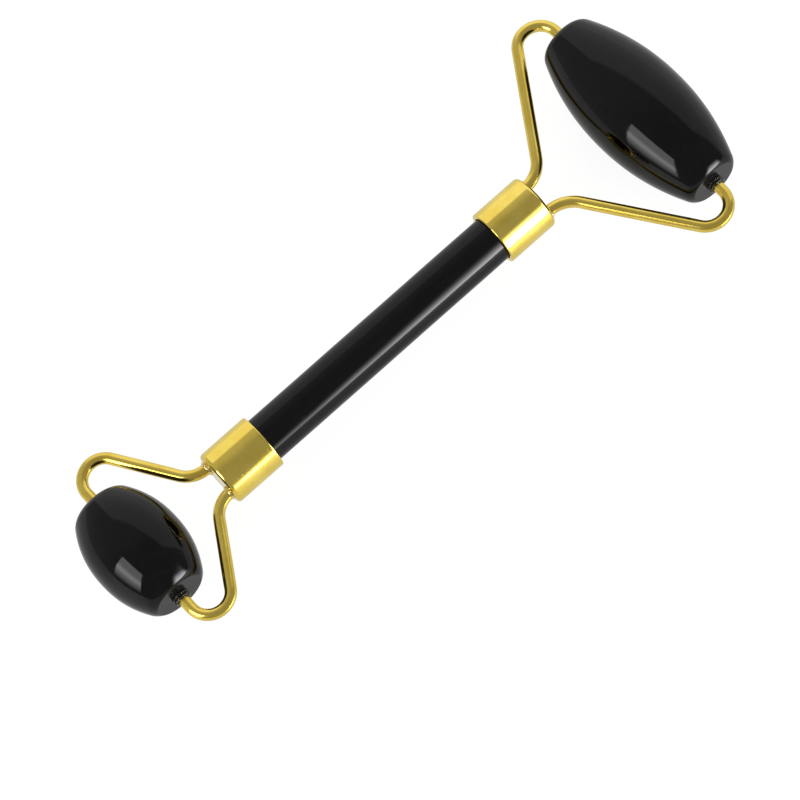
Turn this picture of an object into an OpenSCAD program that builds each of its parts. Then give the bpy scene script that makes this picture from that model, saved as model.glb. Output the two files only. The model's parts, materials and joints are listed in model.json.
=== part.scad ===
// Double-ended face roller: a round stone handle carries a long stone roller on one end
// and a short one on the other. Each roller turns on the bent ends of two wire arms,
// which are brazed into the closed end of a metal ferrule.
// The handle lies along X and the axles along Y. The large roller's belly rests on Z = 0.

/* [Rollers] */
// Distance between the two roller axles
axle_spacing = 121; // [112:0.5:130]
// Length of the large roller
large_len = 40.3; // [37:0.1:42]
// Diameter of the large roller at its middle
large_d = 19.5; // [18:0.1:21]
// Diameter of the large roller where its belly runs into its rounded edges
large_end_d = 11.7; // [11:0.1:14]
// Diameter of the large roller's flat end faces
large_face_d = 9.4; // [8.6:0.1:10.4]
// How full the large roller's belly is: 2 is a plain arc and more is fuller
large_fullness = 2.1; // [1.8:0.1:3]
// Length of the small roller
small_len = 23; // [20:0.1:25]
// Diameter of the small roller at its middle
small_d = 18.1; // [17:0.1:19]
// Diameter of the small roller where its belly runs into its rounded edges
small_end_d = 12.7; // [12:0.1:15]
// Diameter of the small roller's flat end faces
small_face_d = 10; // [9:0.1:11]
// How full the small roller's belly is: 2 is a plain arc and more is fuller
small_fullness = 2.2; // [1.8:0.1:3]

/* [Handle and ferrules] */
// Diameter of the stone handle
handle_d = 9; // [8.6:0.1:9.2]
// Outside diameter of the ferrules
ferrule_d = 11; // [10.8:0.1:12]
// Length of each ferrule
ferrule_len = 10.7; // [9:0.1:13]
// Thickness of each ferrule's closed end
ferrule_end_t = 1.2; // [1:0.1:1.5]
// Radius of the edge round each ferrule's closed end
ferrule_edge_r = 0.8; // [0.4:0.1:0.9]
// Distance from the large roller's axle to the closed face of its ferrule
large_reach = 25.2; // [24:0.1:26.5]
// Distance from the small roller's axle to the closed face of its ferrule
small_reach = 19; // [18.3:0.1:20]

/* [Wire arms] */
// Diameter of the arms' wire
wire_d = 2.3; // [2:0.1:2.4]
// Distance between the centres of two arms where they leave the ferrule
arm_spacing = 6.4; // [6:0.1:6.5]
// Angle of the large arms' straight legs to the handle
large_leg_angle = 57; // [55:0.5:58]
// Angle of the small arms' straight legs to the handle
small_leg_angle = 58.5; // [57:0.5:60]
// Bend radius of the large arms next to the ferrule
large_root_r = 6.4; // [5.6:0.1:7.2]
// Bend radius of the small arms next to the ferrule
small_root_r = 5.3; // [4.7:0.1:6.2]
// Radius of the hook that turns each large arm in to its roller
large_hook_r = 4.1; // [3.8:0.1:4.5]
// Radius of the hook that turns each small arm in to its roller
small_hook_r = 4; // [3.8:0.1:4.4]

/* [Bushes] */
// Diameter of the hole through each roller, and of the bushes in it
bush_d = 3; // [2.8:0.1:3.1]
// Diameter of the collar that stands out of the roller's end
collar_d = 3.3; // [3.2:0.1:4]
// Height of the collar
collar_h = 1.2; // [0.8:0.1:1.5]
// Depth of the bushes in the large roller
large_bush_depth = 6; // [5:0.5:10]
// Depth of the bushes in the small roller
small_bush_depth = 5; // [4.5:0.5:7]

/* [Hidden] */
$fn = 96;

STONE = [0.07, 0.07, 0.08];
GOLD = [0.83, 0.68, 0.24];
BRAZE = [0.88, 0.78, 0.45];
EPOXY = [0.75, 0.7, 0.55];
NYLON = [0.16, 0.16, 0.17];

// The two ends, as indexes into the lists below
LARGE = 0;
SMALL = 1;
// The side that each left and right piece lies on
LEFT = 1;
RIGHT = -1;

// Fits
glue_gap = 0.15;          // between the handle and a ferrule, filled with epoxy
braze_gap = 0.05;         // between an arm and its hole in the ferrule
running_gap = 0.05;       // between an arm's end and its bush

// Small features
handle_chamfer = 0.4;
rim_chamfer = 0.2;        // on both edges of a ferrule's mouth
glue_setback = 0.6;       // the glue line ends this far inside the mouth
tail_len = 1;             // what an arm stands out of the wall inside its ferrule
tail_room = 0.3;          // between those tails and the handle
stub_len = 0.2;           // straight wire between the ferrule and the first bend
braze_spread = 0.35;      // how far the bead reaches past the wire
braze_h = 0.5;            // and up it
pin_clear = 1;            // the arm's end stops this far short of the bush's inner end
tip_chamfer = 0.3;
lap = 0.1;                // lengths of wire overlap by this much where they join, and
lap_step = 0.01;          // one is this much slimmer, so that no faces are tangent there
collar_edge_r = 0.3;
belly_steps = 16;         // steps of the outline from a roller's middle to its end edge
edge_steps = 6;           // steps of the outline round that edge
edge_slope = 62;          // angle at which a rounded edge meets its flat face

// Overall layout, with the origin under the middle of the whole roller
axle_z = large_d / 2;
mid_shift = (small_d - large_d) / 4;
axle_x = [mid_shift + axle_spacing / 2, mid_shift - axle_spacing / 2];
reach = [large_reach, small_reach];
face_x = [axle_x[LARGE] - large_reach, axle_x[SMALL] + small_reach];
handle_inset = ferrule_end_t + tail_len + tail_room;
handle_x0 = face_x[SMALL] + handle_inset;
handle_x1 = face_x[LARGE] - handle_inset;
cavity_r = handle_d / 2 + glue_gap;
wire_r = wire_d / 2;
run_r = wire_r - lap_step;

// Roller sizes for each end: length, middle radius, end radius, face radius, fullness
ROLLER = [
    [large_len, large_d / 2, large_end_d / 2, large_face_d / 2, large_fullness],
    [small_len, small_d / 2, small_end_d / 2, small_face_d / 2, small_fullness]
];
bush_depth = [large_bush_depth, small_bush_depth];

// Arm shape for each end: leg angle, root bend radius, hook radius
ARM = [
    [large_leg_angle, large_root_r, large_hook_r],
    [small_leg_angle, small_root_r, small_hook_r]
];

// Radius of a roller's belly, where s runs from -1 at one end to 1 at the other
function belly_r(size, s) = size[1] - (size[1] - size[2]) * pow(abs(s), size[4]);

// Half the length of a roller's belly, where its surface slopes in by this angle at the end
function belly_half(size, slope) =
    size[0] / 2 - (size[2] - size[3]) / tan((slope + edge_slope) / 2);

// That angle, worked out by repeated guesses, because the belly's length depends on it
function belly_slope(size, guess = 0, tries = 6) =
    tries == 0 ? guess : belly_slope(
        size, atan(size[4] * (size[1] - size[2]) / belly_half(size, guess)), tries - 1);

// Outline of a roller's upper half, as points of radius and height: the belly's curve, which
// runs smoothly into an arc, and that arc, which meets the flat face at a plain corner
function upper_outline(size) =
    let (
        slope = belly_slope(size),
        half = belly_half(size, slope),
        e = (size[2] - size[3]) / (cos(slope) - cos(edge_slope))
    )
    concat(
        [for (i = [0:belly_steps - 1]) let (s = i / belly_steps)
            [belly_r(size, s), s * half]],
        [for (i = [0:edge_steps - 1]) let (a = slope + i * (edge_slope - slope) / edge_steps)
            [size[2] + e * (cos(a) - cos(slope)), half + e * (sin(a) - sin(slope))]],
        [[size[3], size[0] / 2], [0, size[0] / 2]]
    );

// The same outline below the middle, in the order that carries on from the upper half
function lower_outline(size) =
    let (upper = upper_outline(size))
    [for (i = [len(upper) - 1:-1:1]) [upper[i][0], -upper[i][1]]];

// Places its child at one end of the handle, with +X pointing out towards that end's roller
module at_face(end) {
    translate([face_x[end], 0, axle_z])
        mirror([end == LARGE ? 0 : 1, 0, 0])
            children();
}

// Places its child on one end's axle, with the child's Z along the axle
module on_axle(end) {
    translate([axle_x[end], 0, axle_z])
        rotate([-90, 0, 0])
            children();
}

// Lays a turned shape along X, with its Z pointing to +X
module along_x() {
    rotate([0, 90, 0]) children();
}

// A straight length of wire in the XY plane, lapped into the bends before and after it
module wire_run(start, heading, len, before = lap, after = lap) {
    translate(start)
        rotate([0, 0, heading])
            translate([-before, 0, 0])
                along_x() cylinder(h = len + before + after, r = run_r);
}

// A bend in the XY plane, about a centre, that sweeps counterclockwise from one angle
module wire_bend(centre, bend_r, from, sweep) {
    translate(centre)
        rotate([0, 0, from])
            rotate_extrude(angle = sweep)
                translate([bend_r, 0]) circle(r = wire_r);
}

// One arm on the +Y side, with the middle of the ferrule's closed face at its origin
module arm(end) {
    leg_angle = ARM[end][0];
    root_r = ARM[end][1];
    hook_r = ARM[end][2];
    y0 = arm_spacing / 2;
    leg_len = (reach[end] - stub_len - root_r * sin(leg_angle) - hook_r * (1 + sin(leg_angle)))
        / cos(leg_angle);
    root = [stub_len, y0 + root_r, 0];
    leg = root + root_r * [sin(leg_angle), -cos(leg_angle), 0];
    knee = leg + leg_len * [cos(leg_angle), sin(leg_angle), 0];
    hook = knee + hook_r * [sin(leg_angle), -cos(leg_angle), 0];
    pin = hook + [hook_r, 0, 0];
    pin_len = pin[1] - ROLLER[end][0] / 2 + bush_depth[end] - pin_clear - tip_chamfer;
    tail_x = -ferrule_end_t - tail_len;

    wire_run([tail_x, y0, 0], 0, stub_len - tail_x, before = 0);
    wire_bend(root, root_r, -90, leg_angle);
    wire_run(leg, leg_angle, leg_len);
    wire_bend(hook, hook_r, 0, 90 + leg_angle);
    wire_run(pin, -90, pin_len, after = 0);
    translate(pin - [0, pin_len - lap, 0])
        rotate([90, 0, 0])
            cylinder(h = tip_chamfer + lap, r1 = run_r - lap_step, r2 = run_r - tip_chamfer);
}

// One arm on either side
module arm_at(end, side) {
    color(GOLD)
        at_face(end)
            mirror([0, side == LEFT ? 0 : 1, 0])
                arm(end);
}

// Ground stone rod, glued into a ferrule at each end
module handle() {
    len = handle_x1 - handle_x0;
    r = handle_d / 2;
    color(STONE)
        translate([handle_x0, 0, axle_z])
            along_x()
                rotate_extrude()
                    polygon([
                        [0, 0], [r - handle_chamfer, 0], [r, handle_chamfer],
                        [r, len - handle_chamfer], [r - handle_chamfer, len], [0, len]
                    ]);
}

// Turned cap with a closed end, drilled for two arms
module ferrule(end) {
    r = ferrule_d / 2;
    color(GOLD)
        at_face(end)
            difference() {
                along_x()
                    rotate_extrude()
                        union() {
                            translate([0, -ferrule_edge_r])
                                square([r - ferrule_edge_r, ferrule_edge_r]);
                            translate([0, -ferrule_len + rim_chamfer])
                                square([r, ferrule_len - rim_chamfer - ferrule_edge_r]);
                            intersection() {
                                translate([r - ferrule_edge_r, -ferrule_edge_r])
                                    circle(r = ferrule_edge_r);
                                translate([0, -ferrule_edge_r])
                                    square([r, ferrule_edge_r]);
                            }
                            polygon([
                                [0, -ferrule_len], [r - rim_chamfer, -ferrule_len],
                                [r, -ferrule_len + rim_chamfer], [0, -ferrule_len + rim_chamfer]
                            ]);
                        }
                translate([-ferrule_len - 1, 0, 0])
                    along_x() cylinder(h = ferrule_len + 1 - ferrule_end_t, r = cavity_r);
                translate([-ferrule_len - rim_chamfer, 0, 0])
                    along_x()
                        cylinder(h = 2 * rim_chamfer, r1 = cavity_r + 2 * rim_chamfer, r2 = cavity_r);
                for (side = [LEFT, RIGHT])
                    translate([-ferrule_end_t - 1, side * arm_spacing / 2, 0])
                        along_x() cylinder(h = ferrule_end_t + 2, r = wire_r + braze_gap);
            }
}

// Cured glue: a plug behind the handle, and a thin sleeve round it
module epoxy(end) {
    plug_len = handle_inset - ferrule_end_t;
    depth = ferrule_len - glue_setback - ferrule_end_t;
    color(EPOXY)
        at_face(end)
            translate([-ferrule_end_t - depth, 0, 0])
                difference() {
                    along_x() cylinder(h = depth, r = cavity_r);
                    translate([-1, 0, 0])
                        along_x() cylinder(h = depth - plug_len + 1, r = handle_d / 2);
                    for (side = [LEFT, RIGHT])
                        translate([depth - tail_len, side * arm_spacing / 2, 0])
                            along_x() cylinder(h = tail_len + 1, r = wire_r);
                }
}

// Braze fillet where an arm leaves the ferrule
module braze(end, side) {
    color(BRAZE)
        at_face(end)
            translate([0, side * arm_spacing / 2, 0])
                along_x()
                    rotate_extrude()
                        polygon([
                            [wire_r, 0], [wire_r + braze_spread, 0],
                            [wire_r + braze_spread * 0.85, braze_h * 0.45],
                            [wire_r + braze_spread * 0.5, braze_h * 0.8],
                            [wire_r, braze_h]
                        ]);
}

// Polished stone barrel with a hole drilled through
module stone_roller(end) {
    size = ROLLER[end];
    color(STONE)
        on_axle(end)
            difference() {
                rotate_extrude() polygon(concat(upper_outline(size), lower_outline(size)));
                translate([0, 0, -size[0] / 2 - 1]) cylinder(h = size[0] + 2, r = bush_d / 2);
            }
}

// Sleeve pressed into a roller's end, with a collar that keeps the stone off the arm
module bush(end, side) {
    half = ROLLER[end][0] / 2;
    bore_r = wire_r + running_gap;
    collar_r = collar_d / 2;
    color(NYLON)
        on_axle(end)
            mirror([0, 0, side == LEFT ? 0 : 1])
                translate([0, 0, half])
                    difference() {
                        rotate_extrude()
                            polygon([
                                [0, -bush_depth[end]], [bush_d / 2, -bush_depth[end]],
                                [bush_d / 2, 0], [collar_r, 0],
                                [collar_r, collar_h - collar_edge_r],
                                [collar_r - collar_edge_r * 0.3, collar_h - collar_edge_r * 0.3],
                                [collar_r - collar_edge_r, collar_h], [0, collar_h]
                            ]);
                        translate([0, 0, -bush_depth[end] - 1])
                            cylinder(h = bush_depth[end] + collar_h + 2, r = bore_r);
                    }
}

handle();
ferrule(LARGE);  // large_ferrule
ferrule(SMALL);  // small_ferrule
epoxy(LARGE);  // large_epoxy
epoxy(SMALL);  // small_epoxy
arm_at(LARGE, LEFT);  // large_arm_left
arm_at(LARGE, RIGHT);  // large_arm_right
arm_at(SMALL, LEFT);  // small_arm_left
arm_at(SMALL, RIGHT);  // small_arm_right
braze(LARGE, LEFT);  // large_braze_left
braze(LARGE, RIGHT);  // large_braze_right
braze(SMALL, LEFT);  // small_braze_left
braze(SMALL, RIGHT);  // small_braze_right
stone_roller(LARGE);  // large_roller
stone_roller(SMALL);  // small_roller
bush(LARGE, LEFT);  // large_bush_left
bush(LARGE, RIGHT);  // large_bush_right
bush(SMALL, LEFT);  // small_bush_left
bush(SMALL, RIGHT);  // small_bush_right
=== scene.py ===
import json
import math

import bmesh
import bpy
from mathutils import Matrix, Vector, noise

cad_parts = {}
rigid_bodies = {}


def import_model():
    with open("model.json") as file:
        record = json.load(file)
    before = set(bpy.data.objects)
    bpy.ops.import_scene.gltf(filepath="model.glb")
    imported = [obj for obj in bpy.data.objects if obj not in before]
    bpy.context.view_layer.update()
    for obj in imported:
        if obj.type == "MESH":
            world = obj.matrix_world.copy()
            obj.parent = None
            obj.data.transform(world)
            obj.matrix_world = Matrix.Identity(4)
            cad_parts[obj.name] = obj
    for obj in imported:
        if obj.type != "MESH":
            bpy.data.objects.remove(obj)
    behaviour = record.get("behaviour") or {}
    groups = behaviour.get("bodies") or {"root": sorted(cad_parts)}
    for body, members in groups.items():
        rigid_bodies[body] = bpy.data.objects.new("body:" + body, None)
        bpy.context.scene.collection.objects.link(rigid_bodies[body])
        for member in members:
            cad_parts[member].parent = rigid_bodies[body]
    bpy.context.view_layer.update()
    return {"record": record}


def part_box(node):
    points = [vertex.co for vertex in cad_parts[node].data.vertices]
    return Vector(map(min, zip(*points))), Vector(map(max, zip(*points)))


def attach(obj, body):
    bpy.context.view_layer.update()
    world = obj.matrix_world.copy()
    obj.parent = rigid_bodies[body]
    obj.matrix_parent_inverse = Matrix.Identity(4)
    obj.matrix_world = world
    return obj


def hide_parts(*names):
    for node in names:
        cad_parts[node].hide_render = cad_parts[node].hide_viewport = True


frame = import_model()

MM = 0.001
LARGE, SMALL = "large", "small"
ENDS = (LARGE, SMALL)
OUT = {LARGE: 1, SMALL: -1}      # which way along X each end points
SIDES = {"left": 1, "right": -1}  # which way along Y each side lies

# Sizes that the CAD boxes don't give, in mm
ROLLER = {  # radius where the belly ends, radius of the flat face, fullness of the belly
    LARGE: {"end_r": 5.85, "face_r": 4.7, "fullness": 2.1},
    SMALL: {"end_r": 6.35, "face_r": 5.0, "fullness": 2.2},
}
EDGE_SLOPE = math.radians(62)    # where a rounded edge meets its flat face
ARM = {  # angle of the leg to the handle, radii of the bends
    LARGE: {"leg_angle": 57.0, "root_r": 6.4, "hook_r": 4.1},
    SMALL: {"leg_angle": 58.5, "root_r": 5.3, "hook_r": 4.0},
}
ARM_SPACING = 6.4     # between the roots of an end's two arms
STUB = 0.2            # straight wire outside the ferrule, before the root's bend
TAIL = 1.0            # straight wire behind the ferrule's wall, in the glue
TIP = 0.3             # length over which a pin's end is rounded
WALL = 1.2            # closed end of a ferrule
CAVITY_R = 4.65       # inside a ferrule
HOLE_R = 1.2          # for an arm, through a ferrule's wall
WIRE_R = 1.15
BORE_R = 1.5          # through a roller
BORE_EDGE = 0.12      # rounding at the bore's mouth
BUSH_BORE_R = 1.2
PIN_CLEAR = 1.0       # a pin stops this short of its sleeve's inner end
COLLAR_H = 1.2        # part of a bush that stands outside the roller
RING_W = 0.48         # each of the two rings that a groove leaves on the collar
GROOVE_DEPTH = 0.28
RIM_BREAK = 0.09      # depth of the narrow break round a roller's flat face
HANDLE_EDGE = 0.4     # rounding at the handle's ends

# Detail that only the visual meshes have, in mm
STONE_WAVES = {       # depth and size of the waves that grinding by hand leaves
    "roller": (0.02, 9),
    "handle": (0.03, 14),
}
UNGROUND_R = 2.2      # closer to a roller's axis than this, in its bore, nothing is waved
WIRE_WAVE_LENGTH = 3
WIRE_WAVE = 0.006     # share of the wire's radius
BEND_OVAL = 0.035     # share by which bending narrows the wire
BRAZE_LUMP = 0.9      # size of the braze's lumps

FACETS = {            # flat faces round each kind of piece
    "roller": 160,
    "handle": 128,
    "ferrule": 128,
    "epoxy": 96,
    "bush": 72,
    "braze": 56,
    "drill": 48,
    "wire": 40,
}
BELLY_STEPS, EDGE_STEPS = 72, 20
HANDLE_STEPS = 60
TAIL_STEPS, ROOT_STEPS, LEG_STEPS, HOOK_STEPS, PIN_STEPS = 8, 24, 40, 48, 20


# ---------------------------------------------------------------- frame values

def centre_of(node):
    lo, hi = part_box(node)
    return (lo + hi) / 2


def body_of(node):
    bodies = frame["record"]["behaviour"]["bodies"]
    return next(body for body, nodes in bodies.items() if node in nodes)


def closed_face_x(end):
    """X of a ferrule's closed face."""
    lo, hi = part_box(end + "_ferrule")
    return hi.x if OUT[end] > 0 else lo.x


# ---------------------------------------------------------------- mesh building

def piece(name, node, slot, material, mesh, crease=40):
    """Makes an object of a mesh, lets it stand for a CAD node and ride on that node's body."""
    mesh.shade_smooth()
    mesh.set_sharp_from_angle(angle=math.radians(crease))
    mesh.materials.append(material)
    obj = bpy.data.objects.new(name, mesh)
    bpy.context.scene.collection.objects.link(obj)
    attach(obj, body_of(node))
    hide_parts(node)
    return obj


def mesh_from(name, points, faces, grain):
    """A closed mesh whose points carry the direction of their machining as an attribute."""
    mesh = bpy.data.meshes.new(name)
    mesh.from_pydata(points, [], faces)
    layer = mesh.attributes.new("grain", "FLOAT_VECTOR", "POINT")
    layer.data.foreach_set("vector", [x for g in grain for x in g])
    bm = bmesh.new()
    bm.from_mesh(mesh)
    bmesh.ops.recalc_face_normals(bm, faces=bm.faces)
    bm.to_mesh(mesh)
    bm.free()
    return mesh


def turned(name, outline, centre, axis, segments, shape=None):
    """Turns an outline of (along, radius) points in metres round the X or Y axis.
    An outline with a radius of zero at both ends is a solid; any other is a closed ring.
    shape(point, along, radius) gives the radius at a point, for what isn't quite round."""
    solid = outline[0][1] == 0
    rings = outline[1:-1] if solid else outline
    points, grain = [], []
    travelled = 0.0
    last = rings[0]
    for along, radius in rings:
        travelled += math.dist((along, radius), last)
        last = (along, radius)
        for k in range(segments):
            turn = 2 * math.pi * k / segments
            around = (math.cos(turn), math.sin(turn))
            r = radius
            if shape:
                r = shape(point_at(along, radius, around, axis), along, radius)
            points.append(centre + point_at(along, r, around, axis))
            grain.append((travelled, MM * around[0], MM * around[1]))
    faces = []
    count = len(rings)
    for i in range(count - 1 if solid else count):
        a, b = i * segments, (i + 1) % count * segments
        for k in range(segments):
            n = (k + 1) % segments
            faces.append((a + k, a + n, b + n, b + k))
    if solid:
        for ring, (along, _) in ((0, outline[0]), (count - 1, outline[-1])):
            tip = len(points)
            points.append(centre + point_at(along, 0, (1, 0), axis))
            grain.append((travelled, 0, 0))
            for k in range(segments):
                n = (k + 1) % segments
                faces.append((ring * segments + k, ring * segments + n, tip))
    return mesh_from(name, points, faces, grain)


def point_at(along, radius, around, axis):
    """A point at a radius from the X or Y axis; around is its direction, cos and sin."""
    if axis == "X":
        return Vector((along, radius * around[0], radius * around[1]))
    return Vector((radius * around[0], along, radius * around[1]))


def rounded(corners, steps=6, support=0.04 * MM):
    """An outline through corners of (along, radius, rounding), with each corner rounded
    and a point close to each end of every rounding, so that the flats stay flat."""
    outline = []
    count = len(corners)
    for i, (a, r, size) in enumerate(corners):
        here = Vector((a, r))
        before = Vector(corners[i - 1][:2]) - here
        after = Vector(corners[(i + 1) % count][:2]) - here
        if size == 0:
            outline.append((a, r))
            continue
        before.normalize()
        after.normalize()
        half = before.angle(after) / 2
        cut = size / math.tan(half)
        start, end = here + before * cut, here + after * cut
        middle = here + (before + after).normalized() * (size / math.sin(half))
        outline.append(tuple(start + before * support))
        for k in range(steps + 1):
            spoke = (start - middle).lerp(end - middle, k / steps).normalized() * size
            outline.append(tuple(middle + spoke))
        outline.append(tuple(end + after * support))
    return outline


def swept(name, path, radius, segments, to_world):
    """Sweeps a round wire along a flat path of (x, y, heading, bend, scale) points.
    A bend draws the wire slightly oval; noise keeps its skin from being perfect."""
    points, grain = [], []
    travelled = 0.0
    for i, (x, y, heading, bend, scale) in enumerate(path):
        if i:
            travelled += math.dist(path[i - 1][:2], (x, y))
        side = (-math.sin(heading), math.cos(heading))
        for k in range(segments):
            turn = 2 * math.pi * k / segments
            c, s = math.cos(turn), math.sin(turn)
            wobble = noise.noise(Vector((travelled / (WIRE_WAVE_LENGTH * MM), 1.5 * c, 1.5 * s)))
            r = radius * scale * (1 - WIRE_WAVE * (1 + wobble))
            flat = r * c * (1 - BEND_OVAL * bend)
            points.append(to_world(x + side[0] * flat, y + side[1] * flat, r * s))
            grain.append((travelled, MM * c, MM * s))
    faces = []
    for i in range(len(path) - 1):
        a, b = i * segments, (i + 1) * segments
        for k in range(segments):
            n = (k + 1) % segments
            faces.append((a + k, a + n, b + n, b + k))
    for i in (0, len(path) - 1):
        tip = len(points)
        points.append(to_world(path[i][0], path[i][1], 0))
        grain.append((travelled, 0, 0))
        for k in range(segments):
            faces.append((i * segments + k, i * segments + (k + 1) % segments, tip))
    return mesh_from(name, points, faces, grain)


def drilled(mesh, holes):
    """Cuts round holes along X out of a mesh: (x0, x1, y, z, radius) each."""
    obj = bpy.data.objects.new("work", mesh)
    bpy.context.scene.collection.objects.link(obj)
    cutters = []
    for x0, x1, y, z, r in holes:
        outline = [(x0, 0), (x0, r), (x1, r), (x1, 0)]
        drill = turned("drill", outline, Vector((0, y, z)), "X", FACETS["drill"])
        cutter = bpy.data.objects.new("cutter", drill)
        bpy.context.scene.collection.objects.link(cutter)
        cut = obj.modifiers.new("cut", "BOOLEAN")
        cut.operation = "DIFFERENCE"
        cut.solver = "EXACT"
        cut.object = cutter
        cutters.append(cutter)
    depsgraph = bpy.context.evaluated_depsgraph_get()
    result = bpy.data.meshes.new_from_object(obj.evaluated_get(depsgraph))
    result.name = mesh.name
    for work in [obj, *cutters]:
        data = work.data
        bpy.data.objects.remove(work)
        bpy.data.meshes.remove(data)
    return result


# ---------------------------------------------------------------- shader building

class Nodes:
    """A node tree with short ways to add and join its nodes."""

    def __init__(self, tree):
        self.tree = tree

    def add(self, kind, inputs=None, **settings):
        node = self.tree.nodes.new("ShaderNode" + kind)
        for key, value in settings.items():
            setattr(node, key, value)
        for key, value in (inputs or {}).items():
            self.join(node.inputs[key], value)
        return node

    def join(self, socket, value):
        if isinstance(value, bpy.types.NodeSocket):
            self.tree.links.new(value, socket)
        else:
            socket.default_value = value

    def ramp(self, value, low, high, out_low=0.0, out_high=1.0):
        """Maps low..high of a value to out_low..out_high, smoothly and within them."""
        return self.add("MapRange", {
            "Value": value,
            "From Min": low,
            "From Max": high,
            "To Min": out_low,
            "To Max": out_high,
        }, interpolation_type="SMOOTHSTEP").outputs["Result"]

    def math(self, operation, a, b=0.0):
        node = self.add("Math", operation=operation)
        self.join(node.inputs[0], a)
        self.join(node.inputs[1], b)
        return node.outputs["Value"]


class Shader(Nodes):
    """A material of one Principled shader."""

    def __init__(self, name):
        self.material = bpy.data.materials.new(name)
        self.material.use_nodes = True
        super().__init__(self.material.node_tree)
        self.bsdf = self.tree.nodes["Principled BSDF"]

    def set(self, **values):
        """Constants and links on the shader's own sockets, named with _ for a space."""
        for key, value in values.items():
            self.join(self.bsdf.inputs[key.replace("_", " ")], value)

    def place(self):
        """Metres, in the piece's own frame."""
        return self.add("TexCoord").outputs["Object"]

    def grain(self):
        """Metres along the machining, and a millimetre circle round it."""
        return self.add("Attribute", attribute_name="grain").outputs["Vector"]

    def noise(self, vector, stretch, detail=3.0, roughness=0.5, distortion=0.0):
        """Noise from 0 to 1; stretch is its features per metre along each axis."""
        moved = self.add("Mapping", {"Vector": vector, "Scale": stretch})
        return self.add("TexNoise", {
            "Vector": moved.outputs["Vector"],
            "Scale": 1.0,
            "Detail": detail,
            "Roughness": roughness,
            "Distortion": distortion,
        }).outputs["Fac"]

    def mix(self, share, a, b):
        node = self.add("Mix", {"Factor": share}, data_type="RGBA")
        self.join(node.inputs["A"], a)
        self.join(node.inputs["B"], b)
        return node.outputs["Result"]

    def bump(self, height, depth, strength=1.0, before=None):
        """Relief of this depth in metres for a height from 0 to 1."""
        node = self.add("Bump", {"Height": height, "Distance": depth, "Strength": strength})
        if before is not None:
            self.join(node.inputs["Normal"], before)
        return node.outputs["Normal"]


def rgb(r, g, b):
    return (r, g, b, 1.0)


def stone_material(name, axis=None, half=None):
    """Black polished stone: faint clouds, rare pale specks, fine polishing lines and a few
    scuffs. Flat ends at half the length along an axis have a duller, ground finish."""
    s = Shader(name)
    place, grain = s.place(), s.grain()
    clouds = s.noise(place, (140, 140, 140), detail=6, roughness=0.62, distortion=0.6)
    veins = s.noise(place, (60, 95, 60), detail=4, distortion=2.2)
    vein = s.ramp(s.math("ABSOLUTE", s.math("SUBTRACT", veins, 0.5)), 0.0, 0.02, 1.0, 0.0)
    specks = s.add("TexVoronoi", {"Vector": place, "Scale": 800.0}).outputs["Distance"]
    speck = s.math("MULTIPLY", s.ramp(specks, 0.06, 0.12, 1.0, 0.0), s.ramp(clouds, 0.5, 0.62))
    black, cloud = rgb(0.0008, 0.0008, 0.0010), rgb(0.0022, 0.0021, 0.0024)
    body = s.mix(s.ramp(clouds, 0.35, 0.7), black, cloud)
    body = s.mix(s.math("MULTIPLY", vein, 0.35), body, rgb(0.008, 0.008, 0.009))
    body = s.mix(s.math("MULTIPLY", speck, 0.5), body, rgb(0.030, 0.029, 0.028))
    lines = s.noise(grain, (9000, 900, 900), detail=2)
    scuffs = s.noise(place, (420, 2600, 420), detail=2, distortion=0.4)
    scuff = s.ramp(scuffs, 0.66, 0.74)
    peel = s.noise(place, (650, 650, 650), detail=2)
    gloss = s.math("ADD", s.ramp(clouds, 0.3, 0.75, 0.035, 0.06), s.math("MULTIPLY", scuff, 0.10))
    gloss = s.math("ADD", gloss, s.ramp(lines, 0.45, 0.75, 0.0, 0.025))
    if axis is not None:
        along = s.add("SeparateXYZ", {"Vector": place}).outputs[axis]
        flat = s.ramp(s.math("ABSOLUTE", along), half - 0.05 * MM, half - 0.02 * MM)
        gloss = s.math("ADD", gloss, s.math("MULTIPLY", flat, 0.16))
        body = s.mix(s.math("MULTIPLY", flat, 0.5), body, rgb(0.02, 0.02, 0.021))
    relief = s.bump(lines, 0.0006 * MM)
    relief = s.bump(peel, 0.0012 * MM, before=relief)
    relief = s.bump(scuff, 0.0008 * MM, before=relief)
    s.set(Base_Color=body, Roughness=gloss, Normal=relief, IOR=1.45)
    return s.material


def gold_material(name, base, deep, rough, lines_per_m, line_depth):
    """Gold plating over brass: the tone drifts with its thickness, machining or drawing
    lines follow the grain, and handling has left fine scratches and a few dull patches."""
    s = Shader(name)
    place, grain = s.place(), s.grain()
    drift = s.noise(place, (180, 180, 180), detail=4, roughness=0.6)
    fine = s.noise(place, (1500, 1500, 1500), detail=3)
    tone = s.mix(s.ramp(drift, 0.3, 0.7), base, deep)
    tone = s.mix(s.ramp(fine, 0.62, 0.8, 0.0, 0.22), tone, rgb(0.62, 0.42, 0.12))
    lines = s.noise(grain, lines_per_m, detail=3, roughness=0.65)
    scratches = s.noise(place, (3000, 500, 2200), detail=2, distortion=0.5)
    scratch = s.ramp(scratches, 0.68, 0.76)
    gloss = s.math("ADD", s.ramp(drift, 0.25, 0.75, rough * 0.85, rough * 1.2),
                   s.ramp(lines, 0.4, 0.8, 0.0, 0.05))
    gloss = s.math("ADD", gloss, s.math("MULTIPLY", scratch, 0.12))
    relief = s.bump(lines, line_depth)
    relief = s.bump(scratch, 0.001 * MM, before=relief)
    s.set(Base_Color=tone, Metallic=1.0, Roughness=gloss, Normal=relief,
          Coat_Weight=0.3, Coat_Roughness=0.12, Coat_IOR=1.5)
    return s.material


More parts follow.
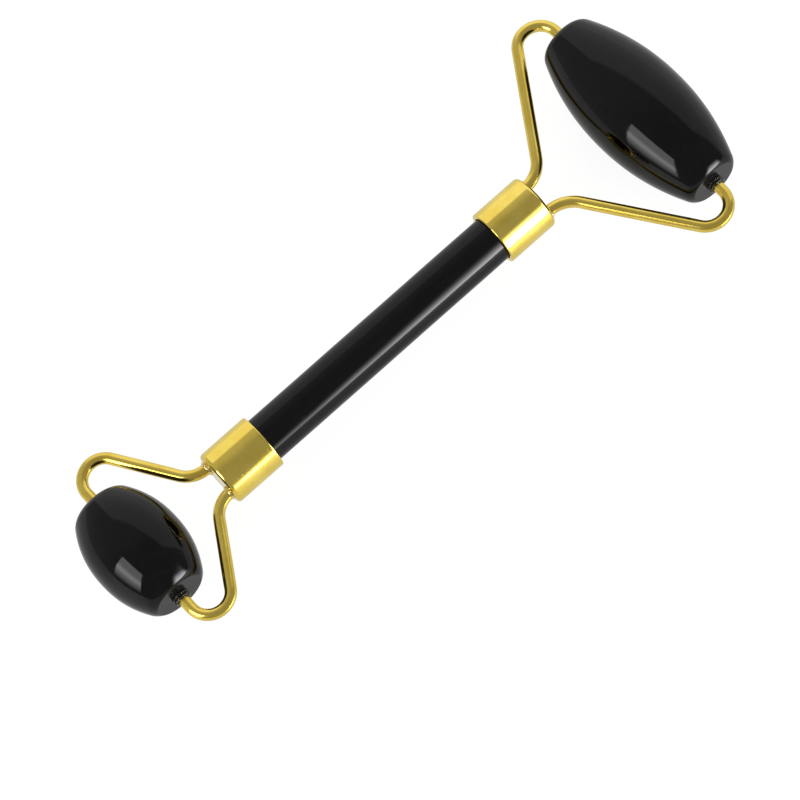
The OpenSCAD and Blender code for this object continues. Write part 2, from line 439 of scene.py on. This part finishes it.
def braze_material():
    """Brazing alloy under the plating: paler than the wire, lumpy, dull in its hollows."""
    s = Shader("braze_alloy")
    place = s.place()
    lumps = s.noise(place, (2200, 2200, 2200), detail=4, roughness=0.6)
    stain = s.ramp(s.noise(place, (900, 900, 900), detail=3), 0.5, 0.72)
    tone = s.mix(stain, rgb(0.90, 0.78, 0.42), rgb(0.50, 0.40, 0.15))
    s.set(Base_Color=tone, Metallic=1.0, Roughness=s.ramp(lumps, 0.3, 0.7, 0.12, 0.3),
          Normal=s.bump(lumps, 0.012 * MM))
    return s.material


def nylon_material():
    """Smoke-coloured clear plastic, cut from tube, with fine turning lines and a faint haze."""
    s = Shader("bush_plastic")
    place, grain = s.place(), s.grain()
    haze = s.noise(place, (1200, 1200, 1200), detail=3)
    lines = s.noise(grain, (7000, 500, 500), detail=2)
    tone = s.mix(s.ramp(haze, 0.35, 0.7), rgb(0.16, 0.155, 0.14), rgb(0.26, 0.25, 0.23))
    s.set(Base_Color=tone, Roughness=s.ramp(haze, 0.3, 0.75, 0.04, 0.09),
          Transmission_Weight=0.92, IOR=1.52, Normal=s.bump(lines, 0.002 * MM))
    return s.material


def epoxy_material():
    """Clear amber glue, glossy, with a few small bubbles and trapped dust."""
    s = Shader("cured_epoxy")
    place = s.place()
    cells = s.add("TexVoronoi", {"Vector": place, "Scale": 2600.0}).outputs["Distance"]
    bubble = s.ramp(cells, 0.1, 0.22, 1.0, 0.0)
    dust = s.noise(place, (1500, 1500, 1500), detail=4)
    tone = s.mix(s.ramp(dust, 0.4, 0.7), rgb(0.10, 0.075, 0.035), rgb(0.17, 0.13, 0.07))
    tone = s.mix(s.math("MULTIPLY", bubble, 0.5), tone, rgb(0.3, 0.27, 0.2))
    s.set(Base_Color=tone, Roughness=s.ramp(dust, 0.3, 0.7, 0.12, 0.26), IOR=1.54,
          Normal=s.bump(bubble, 0.01 * MM))
    return s.material


# ---------------------------------------------------------------- pieces

def belly_end(length, mid_r, end_r, face_r, fullness):
    """Half the length of a roller's belly and the angle at which it slopes in there."""
    slope = 0.0
    for _ in range(7):
        half = length / 2 - (end_r - face_r) / math.tan((slope + EDGE_SLOPE) / 2)
        slope = math.atan(fullness * (mid_r - end_r) / half)
    return half, slope


def roller_outline(length, mid_r, end_r, face_r, fullness):
    """The belly's curve, an arc that it runs into, a narrow break of that arc's rim, the
    flat face and the bore, from the middle up, and the same below it."""
    half, slope = belly_end(length, mid_r, end_r, face_r, fullness)
    edge_r = (end_r - face_r) / (math.cos(slope) - math.cos(EDGE_SLOPE))
    top = []
    for i in range(BELLY_STEPS):
        share = i / BELLY_STEPS
        top.append((share * half, mid_r - (mid_r - end_r) * share ** fullness))
    for i in range(EDGE_STEPS):
        a = slope + i * (EDGE_SLOPE - slope) / EDGE_STEPS
        top.append((half + edge_r * (math.sin(a) - math.sin(slope)),
                    end_r + edge_r * (math.cos(a) - math.cos(slope))))
    face_y, rim = length / 2, RIM_BREAK * MM
    for share in (0.0, 0.25, 0.5, 0.75, 1.0):
        a = EDGE_SLOPE + share * (math.pi / 2 - EDGE_SLOPE)
        back, inward = 3 * (1 - math.sin(a)), 1 - 2 * math.cos(a)
        top.append((face_y - rim * back, face_r - rim * inward))
    rim_r = top[-1][1]
    bore_r, bore_edge = BORE_R * MM, BORE_EDGE * MM
    for share in (0.02, 0.35, 0.7):
        top.append((face_y, rim_r + (bore_r + bore_edge - rim_r) * share))
    for i in range(5):
        a = i * math.pi / 8
        top.append((face_y - bore_edge * (1 - math.cos(a)),
                    bore_r + bore_edge * (1 - math.sin(a))))
    return top + [(-y, r) for y, r in reversed(top[1:])]


def hand_ground(kind):
    """A shape for turned(): the slight waves that grinding by hand leaves in stone, broad
    ones with smaller ones on them."""
    depth, size = (value * MM for value in STONE_WAVES[kind])

    def shape(point, along, radius):
        if radius < UNGROUND_R * MM:
            return radius
        wave = noise.noise(point / size) + 0.4 * noise.noise(point / (0.37 * size))
        return radius - depth * min(max(0.5 + 0.5 * wave, 0.0), 1.0)
    return shape


def build_roller(end):
    node = end + "_roller"
    lo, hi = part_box(node)
    sizes = ROLLER[end]
    outline = roller_outline(hi.y - lo.y, (hi.z - lo.z) / 2, sizes["end_r"] * MM,
                             sizes["face_r"] * MM, sizes["fullness"])
    mesh = turned(end + "_stone_barrel", outline, centre_of(node), "Y", FACETS["roller"],
                  hand_ground("roller"))
    material = stone_material(end + "_barrel_stone", "Y", hi.y)
    piece(end + "_stone_barrel", node, "roller_stone", material, mesh)


def build_handle():
    lo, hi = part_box("handle")
    r = (hi.z - lo.z) / 2
    half = (hi.x - lo.x) / 2
    edge = HANDLE_EDGE * MM
    ends = rounded([(-half, 0, 0), (-half, r, edge), (half, r, edge), (half, 0, 0)])
    outline = ends[:len(ends) // 2]
    for i in range(1, HANDLE_STEPS):
        outline.append((-half + 2 * half * i / HANDLE_STEPS, r))
    outline += ends[len(ends) // 2:]
    mesh = turned("stone_handle", outline, centre_of("handle"), "X", FACETS["handle"],
                  hand_ground("handle"))
    piece("stone_handle", "handle", "handle_stone", stone_material("handle_stone"), mesh)


def build_ferrule(end, material):
    node = end + "_ferrule"
    lo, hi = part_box(node)
    out = OUT[end]
    centre = centre_of(node)
    half, r = (hi.x - lo.x) / 2, (hi.z - lo.z) / 2
    cavity, wall = CAVITY_R * MM, WALL * MM
    corners = [  # along, radius, rounding
        (out * half, 0, 0),                       # middle of the closed face
        (out * half, r, 0.8 * MM),                # the closed face's edge
        (-out * half, r, 0.22 * MM),              # outer edge of the open rim
        (-out * half, cavity, 0.16 * MM),         # inner edge of the open rim
        (out * (half - wall), cavity, 0.2 * MM),  # the cavity's corner
        (out * (half - wall), 0, 0),              # middle of the wall, inside
    ]
    outline = rounded(corners, steps=10)
    mesh = turned(node + "_cap", outline, centre, "X", FACETS["ferrule"])
    face = closed_face_x(end) - centre.x
    holes = []
    for side in SIDES.values():
        ends = sorted((face - out * 2 * wall, face + out * wall))
        y = side * ARM_SPACING / 2 * MM
        holes.append((centre.x + ends[0], centre.x + ends[1], y, centre.z, HOLE_R * MM))
    piece(node + "_cap", node, "ferrule_gold", material, drilled(mesh, holes))


def build_epoxy(end, material):
    """The glue: a plug behind the handle and a sleeve round it, with a dished rim."""
    node = end + "_epoxy"
    lo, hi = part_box(node)
    handle_lo, handle_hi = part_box("handle")
    out = OUT[end]
    inner, outer = (hi.x, lo.x) if out > 0 else (lo.x, hi.x)
    plug = handle_hi.x if out > 0 else handle_lo.x
    cavity, rod = CAVITY_R * MM, (handle_hi.z - handle_lo.z) / 2
    centre = Vector((0, 0, centre_of(node).z))
    corner, dish_depth = 0.2 * MM, 0.12 * MM
    outline = [(inner, 0), (inner, cavity - corner), (inner - out * corner, cavity)]
    outline += [(outer, cavity)]
    for share in (0.25, 0.5, 0.75):
        dish = dish_depth * math.sin(math.pi * share)
        outline.append((outer + out * dish, cavity + (rod - cavity) * share))
    outline += [(outer, rod), (plug, rod), (plug, 0)]
    mesh = turned(node + "_fill", outline, centre, "X", FACETS["epoxy"])
    holes = []
    for side in SIDES.values():
        ends = sorted((inner - out * TAIL * MM, inner + out * MM))
        y = side * ARM_SPACING / 2 * MM
        holes.append((ends[0], ends[1], y, centre.z, WIRE_R * MM))
    piece(node + "_fill", node, "epoxy", material, drilled(mesh, holes))


def arm_path(end):
    """The wire's centreline in mm from the middle of the ferrule's closed face, on the +Y
    side: points of (x, y, heading, bend, scale of the wire)."""
    face = closed_face_x(end)
    axle = centre_of(end + "_roller")
    reach = abs(axle.x - face) / MM
    sizes = ARM[end]
    angle = math.radians(sizes["leg_angle"])
    root_r, hook_r = sizes["root_r"], sizes["hook_r"]
    sin, cos = math.sin(angle), math.cos(angle)
    leg_len = (reach - STUB - root_r * sin - hook_r * (1 + sin)) / cos
    y0 = ARM_SPACING / 2
    pin_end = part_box(end + "_bush_left")[0].y / MM + PIN_CLEAR
    path = []
    tail = -WALL - TAIL
    for i in range(TAIL_STEPS + 1):
        path.append((tail + (STUB - tail) * i / TAIL_STEPS, y0, 0.0, 0, 1))
    for i in range(1, ROOT_STEPS + 1):
        a = angle * i / ROOT_STEPS
        path.append((STUB + root_r * math.sin(a), y0 + root_r * (1 - math.cos(a)), a, 1, 1))
    x, y = path[-1][:2]
    for i in range(1, LEG_STEPS + 1):
        d = leg_len * i / LEG_STEPS
        path.append((x + d * cos, y + d * sin, angle, 0, 1))
    x, y = path[-1][:2]
    cx, cy = x + hook_r * sin, y - hook_r * cos
    for i in range(1, HOOK_STEPS + 1):
        a = angle - (math.pi / 2 + angle) * i / HOOK_STEPS
        path.append((cx - hook_r * math.sin(a), cy + hook_r * math.cos(a), a, 1, 1))
    x, y = path[-1][:2]
    inward = -math.pi / 2
    for i in range(1, PIN_STEPS + 1):
        path.append((x, y + (pin_end + TIP - y) * i / PIN_STEPS, inward, 0, 1))
    path.append((x, pin_end + TIP * 0.3, inward, 0, 0.93))
    path.append((x, pin_end, inward, 0, 0.75))
    return smooth_bend(path)


def smooth_bend(path, reach=4):
    """Spreads each bend's ovality over the points next to it."""
    smooth = []
    for i, (x, y, heading, _, scale) in enumerate(path):
        near = path[max(0, i - reach):i + reach + 1]
        smooth.append((x, y, heading, sum(p[3] for p in near) / len(near), scale))
    return smooth


def build_arm(end, side, material):
    node = f"{end}_arm_{side}"
    face, z = closed_face_x(end), centre_of(node).z

    def to_world(x, y, up):
        return Vector((face + OUT[end] * x, SIDES[side] * y, z + up))

    path = [(x * MM, y * MM, *rest) for x, y, *rest in arm_path(end)]
    mesh = swept(node + "_wire", path, WIRE_R * MM, FACETS["wire"], to_world)
    piece(node + "_wire", node, "wire_gold", material, mesh)


def build_braze(end, side, material):
    """An uneven fillet that climbs the wire, higher on one side than on the other."""
    node = f"{end}_braze_{side}"
    lo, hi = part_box(node)
    out = OUT[end]
    face = closed_face_x(end)
    height, spread = hi.x - lo.x, (hi.z - lo.z) / 2 - WIRE_R * MM
    overlap, sink = 0.04 * MM, 0.03 * MM  # into the wire, and into the ferrule's face
    inner = WIRE_R * MM - overlap
    centre = Vector((face, centre_of(node).y, centre_of(node).z))
    outline = [(-out * sink, inner), (-out * sink, inner + 0.9 * spread)]
    arc_steps = 8
    for i in range(arc_steps + 1):
        a = i * math.pi / 2 / arc_steps
        outline.append((out * height * (0.1 + 0.9 * math.sin(a)),
                        inner + overlap + spread * (0.15 + 0.85 * math.cos(a))))
    outline.append((out * height * 0.98, inner))

    def lumpy(point, along, radius):
        on_wire = radius < inner + 0.05 * MM
        if on_wire:
            return radius
        lump = noise.noise(point / (BRAZE_LUMP * MM) + centre / MM)
        return radius - 0.35 * (radius - inner) * min(max(0.5 + lump, 0.0), 1.0)

    mesh = turned(node + "_bead", outline, centre, "X", FACETS["braze"], lumpy)
    piece(node + "_bead", node, "braze", material, mesh, crease=60)


def build_bush(end, side, material):
    node = f"{end}_bush_{side}"
    lo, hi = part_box(node)
    way = SIDES[side]
    inner, outer = (lo.y, hi.y) if way > 0 else (hi.y, lo.y)
    face = outer - way * COLLAR_H * MM
    fit = 0.01  # between the sleeve and the roller's bore
    sleeve, collar, bore = (BORE_R - fit) * MM, (hi.z - lo.z) / 2, BUSH_BORE_R * MM
    corners = [  # along, radius, rounding
        (inner, bore, 0.05 * MM),
        (inner, sleeve, 0.1 * MM),
        (face, sleeve, 0),
        (face, collar, 0.14 * MM),
        (face + way * RING_W * MM, collar, 0.16 * MM),
        (face + way * COLLAR_H * MM / 2, collar - GROOVE_DEPTH * MM, 0.03 * MM),
        (outer - way * RING_W * MM, collar, 0.16 * MM),
        (outer, collar, 0.18 * MM),
        (outer, bore, 0.08 * MM),
    ]
    centre = centre_of(node)
    outline = rounded(corners, steps=5, support=0.01 * MM)
    axle = Vector((centre.x, 0, centre.z))
    mesh = turned(node + "_sleeve", outline, axle, "Y", FACETS["bush"])
    piece(node + "_sleeve", node, "bush_nylon", material, mesh)


# ---------------------------------------------------------------- studio

CAMERA_TURN, CAMERA_TILT, CAMERA_ROLL = -18.95, 21.86, -23.85  # degrees
CAMERA_OFFSET = (1.551, -12.978, 666.03)       # right, up and back from the aim, in mm
SENSOR, LENS = 36.0, 166.34                    # mm

FLOOR_RADIUS = 6.0                             # m
FLOOR_GLOW, FLOOR_GLOW_MIRRORED = 0.935, 0.68  # as it is, and in mirror reflections
ROOM_LIGHT, ROOM_LIGHT_BRIGHT = 0.42, 0.60     # on the -Y side, and on the +Y side
VIEW_GAMMA = 0.82                              # below 1 it deepens the dark tones


def add_camera():
    """Looks down past the middle of the two rollers, through a long lens."""
    aim = (centre_of("large_roller") + centre_of("small_roller")) / 2
    turn = Matrix.Rotation(math.radians(CAMERA_TURN), 3, "Z")
    tilt = Matrix.Rotation(math.radians(CAMERA_TILT), 3, "X")
    roll = Matrix.Rotation(math.radians(CAMERA_ROLL), 3, "Z")
    look = turn @ tilt @ roll
    offset = Vector(CAMERA_OFFSET) * MM
    data = bpy.data.cameras.new("camera")
    data.sensor_width = SENSOR
    data.lens = LENS
    data.clip_start = 0.02
    data.clip_end = 50.0
    camera = bpy.data.objects.new("camera", data)
    camera.matrix_world = Matrix.Translation(aim + look @ offset) @ look.to_4x4()
    bpy.context.scene.collection.objects.link(camera)
    bpy.context.scene.camera = camera


def add_softbox(name, azimuth, elevation, distance, size, radiance, fade, roll=0.0, glow=0.0,
                upright=False):
    """A rectangular light at a distance in metres, from an azimuth in degrees that starts
    at +X and turns towards +Y. A positive roll turns its top towards a smaller azimuth.
    It faces the object, or straight across if upright. fade is its sides, bottom and top."""
    a, e = math.radians(azimuth), math.radians(elevation)
    way = Vector((math.cos(a) * math.cos(e), math.sin(a) * math.cos(e), math.sin(e)))
    data = bpy.data.lights.new(name, "AREA")
    data.shape = "RECTANGLE"
    data.size, data.size_y = size
    data.energy = radiance * math.pi * size[0] * size[1]
    light = bpy.data.objects.new(name, data)
    outward = Vector((way.x, way.y, 0)) if upright else way
    facing = outward.to_track_quat("Z", "Y").to_matrix()
    facing = facing @ Matrix.Rotation(math.radians(roll), 3, "Z")
    light.matrix_world = Matrix.Translation(way * distance) @ facing.to_4x4()
    light.visible_camera = False
    bpy.context.scene.collection.objects.link(light)
    shade_light(data, *fade, glow)


def shade_light(data, sides, bottom, top, glow):
    """Lets a light fade over these shares of its size at its sides, bottom and top, and
    glow by this much more across its middle, as a softbox does."""
    data.use_nodes = True
    n = Nodes(data.node_tree)
    place = n.add("SeparateXYZ", {"Vector": n.add("NewGeometry").outputs["Parametric"]})
    across, up = place.outputs["X"], place.outputs["Y"]
    strength = n.math("MULTIPLY", n.ramp(across, 0.0, sides), n.ramp(across, 1.0, 1.0 - sides))
    strength = n.math("MULTIPLY", strength, n.ramp(up, 0.0, bottom))
    strength = n.math("MULTIPLY", strength, n.ramp(up, 1.0, 1.0 - top))
    off_middle = n.math("ABSOLUTE", n.math("SUBTRACT", up, 0.5))
    reach = 0.2
    strength = n.math("MULTIPLY", strength, n.ramp(off_middle, 0.0, reach, 1.0 + glow, 1.0))
    n.join(n.tree.nodes["Emission"].inputs["Strength"], strength)


def add_world():
    """A dim grey room, a little brighter on its +Y side."""
    world = bpy.data.worlds.new("studio")
    bpy.context.scene.world = world
    world.use_nodes = True
    n = Nodes(world.node_tree)
    way = n.add("SeparateXYZ", {"Vector": n.add("TexCoord").outputs["Generated"]})
    background = n.tree.nodes["Background"]
    n.join(background.inputs["Strength"],
           n.ramp(way.outputs["Y"], -0.1, 0.6, ROOM_LIGHT, ROOM_LIGHT_BRIGHT))
    n.join(background.inputs["Color"], rgb(1, 1, 1))


def add_floor():
    """A plain pale table that glows, so that shadows stay faint. It glows less where the
    object mirrors it, so that edges of gold stay darker than the background."""
    mesh = bpy.data.meshes.new("floor")
    bm = bmesh.new()
    bmesh.ops.create_circle(bm, cap_ends=True, radius=FLOOR_RADIUS, segments=96)
    bm.to_mesh(mesh)
    bm.free()
    floor = bpy.data.objects.new("floor", mesh)
    bpy.context.scene.collection.objects.link(floor)
    s = Shader("pale_floor")
    mirrored = s.add("LightPath").outputs["Is Glossy Ray"]
    glow = s.ramp(mirrored, 0.0, 1.0, FLOOR_GLOW, FLOOR_GLOW_MIRRORED)
    s.set(Base_Color=rgb(0.08, 0.08, 0.08), Roughness=0.45, Emission_Color=rgb(1, 1, 1),
          Emission_Strength=glow)
    mesh.materials.append(s.material)


def add_studio():
    add_camera()
    add_world()
    add_floor()
    add_softbox("key_softbox", azimuth=183, elevation=27, distance=0.82, size=(0.43, 0.70),
                radiance=3.3, fade=(0.03, 0.36, 0.04), glow=0.8)
    add_softbox("side_softbox", azimuth=-62, elevation=14, distance=0.85, size=(0.82, 1.05),
                radiance=14.0, fade=(0.33, 0.3, 0.75), roll=-25)
    add_softbox("reflector", azimuth=40, elevation=40, distance=1.3, size=(2.6, 1.7),
                radiance=0.45, fade=(0.06, 0.01, 0.22), upright=True)
    view = bpy.context.scene.view_settings
    view.view_transform = "Standard"
    view.gamma = VIEW_GAMMA


# ---------------------------------------------------------------- whole

def build_object():
    cap_gold = gold_material("cap_gold", base=rgb(0.93, 0.75, 0.20), deep=rgb(0.85, 0.66, 0.14),
                             rough=0.08, lines_per_m=(12000, 700, 700), line_depth=0.0010 * MM)
    wire_gold = gold_material("wire_gold", base=rgb(0.88, 0.70, 0.18), deep=rgb(0.78, 0.59, 0.12),
                              rough=0.17, lines_per_m=(250, 5000, 5000), line_depth=0.0015 * MM)
    braze = braze_material()
    nylon = nylon_material()
    epoxy = epoxy_material()
    build_handle()
    for end in ENDS:
        build_roller(end)
        build_ferrule(end, cap_gold)
        build_epoxy(end, epoxy)
        for side in SIDES:
            build_arm(end, side, wire_gold)
            build_braze(end, side, braze)
            build_bush(end, side, nylon)


def flag_wires():
    """Shades the wires and the braze from the side light, as a studio's flag does, because
    seen from behind they would burn out and vanish against the white."""
    shaded = bpy.data.collections.new("flagged")
    for piece in bpy.data.objects:
        if piece.name.endswith(("_wire", "_bead")):
            shaded.objects.link(piece)
    bpy.data.objects["side_softbox"].light_linking.receiver_collection = shaded
    for member in shaded.collection_objects:
        member.light_linking.link_state = "EXCLUDE"


add_studio()
build_object()
flag_wires()
